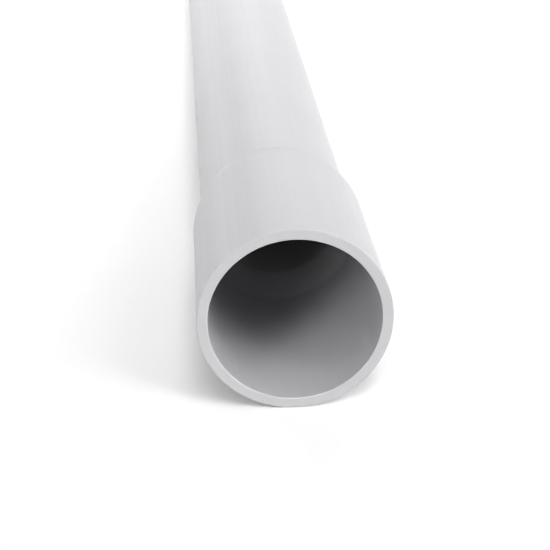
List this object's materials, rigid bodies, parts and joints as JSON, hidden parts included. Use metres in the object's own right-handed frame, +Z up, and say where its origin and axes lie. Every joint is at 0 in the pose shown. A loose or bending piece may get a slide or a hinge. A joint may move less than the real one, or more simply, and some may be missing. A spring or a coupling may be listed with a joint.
{
  "type": "rigid pvc conduit pipe with a socket end",
  "caption": "Long straight rigid plastic tube, open right through for cables, with a wider socket formed on one end to take the plain end of the next length.",
  "frame": {"origin": "on the floor under the middle of the pipe's length, on its vertical centre plane", "axes": "+Y along the pipe from the socket end to the plain spigot end, +Z up, +X to the right when looking into the pipe from the socket's mouth"},
  "size_m": [0.036, 2, 0.0362],
  "materials": {
    "light_grey_pvc": "extruded unplasticised PVC, light grey, satin"
  },
  "bodies": {
    "root": {"conduit_pipe": "light_grey_pvc"}
  },
  "joints": []
}
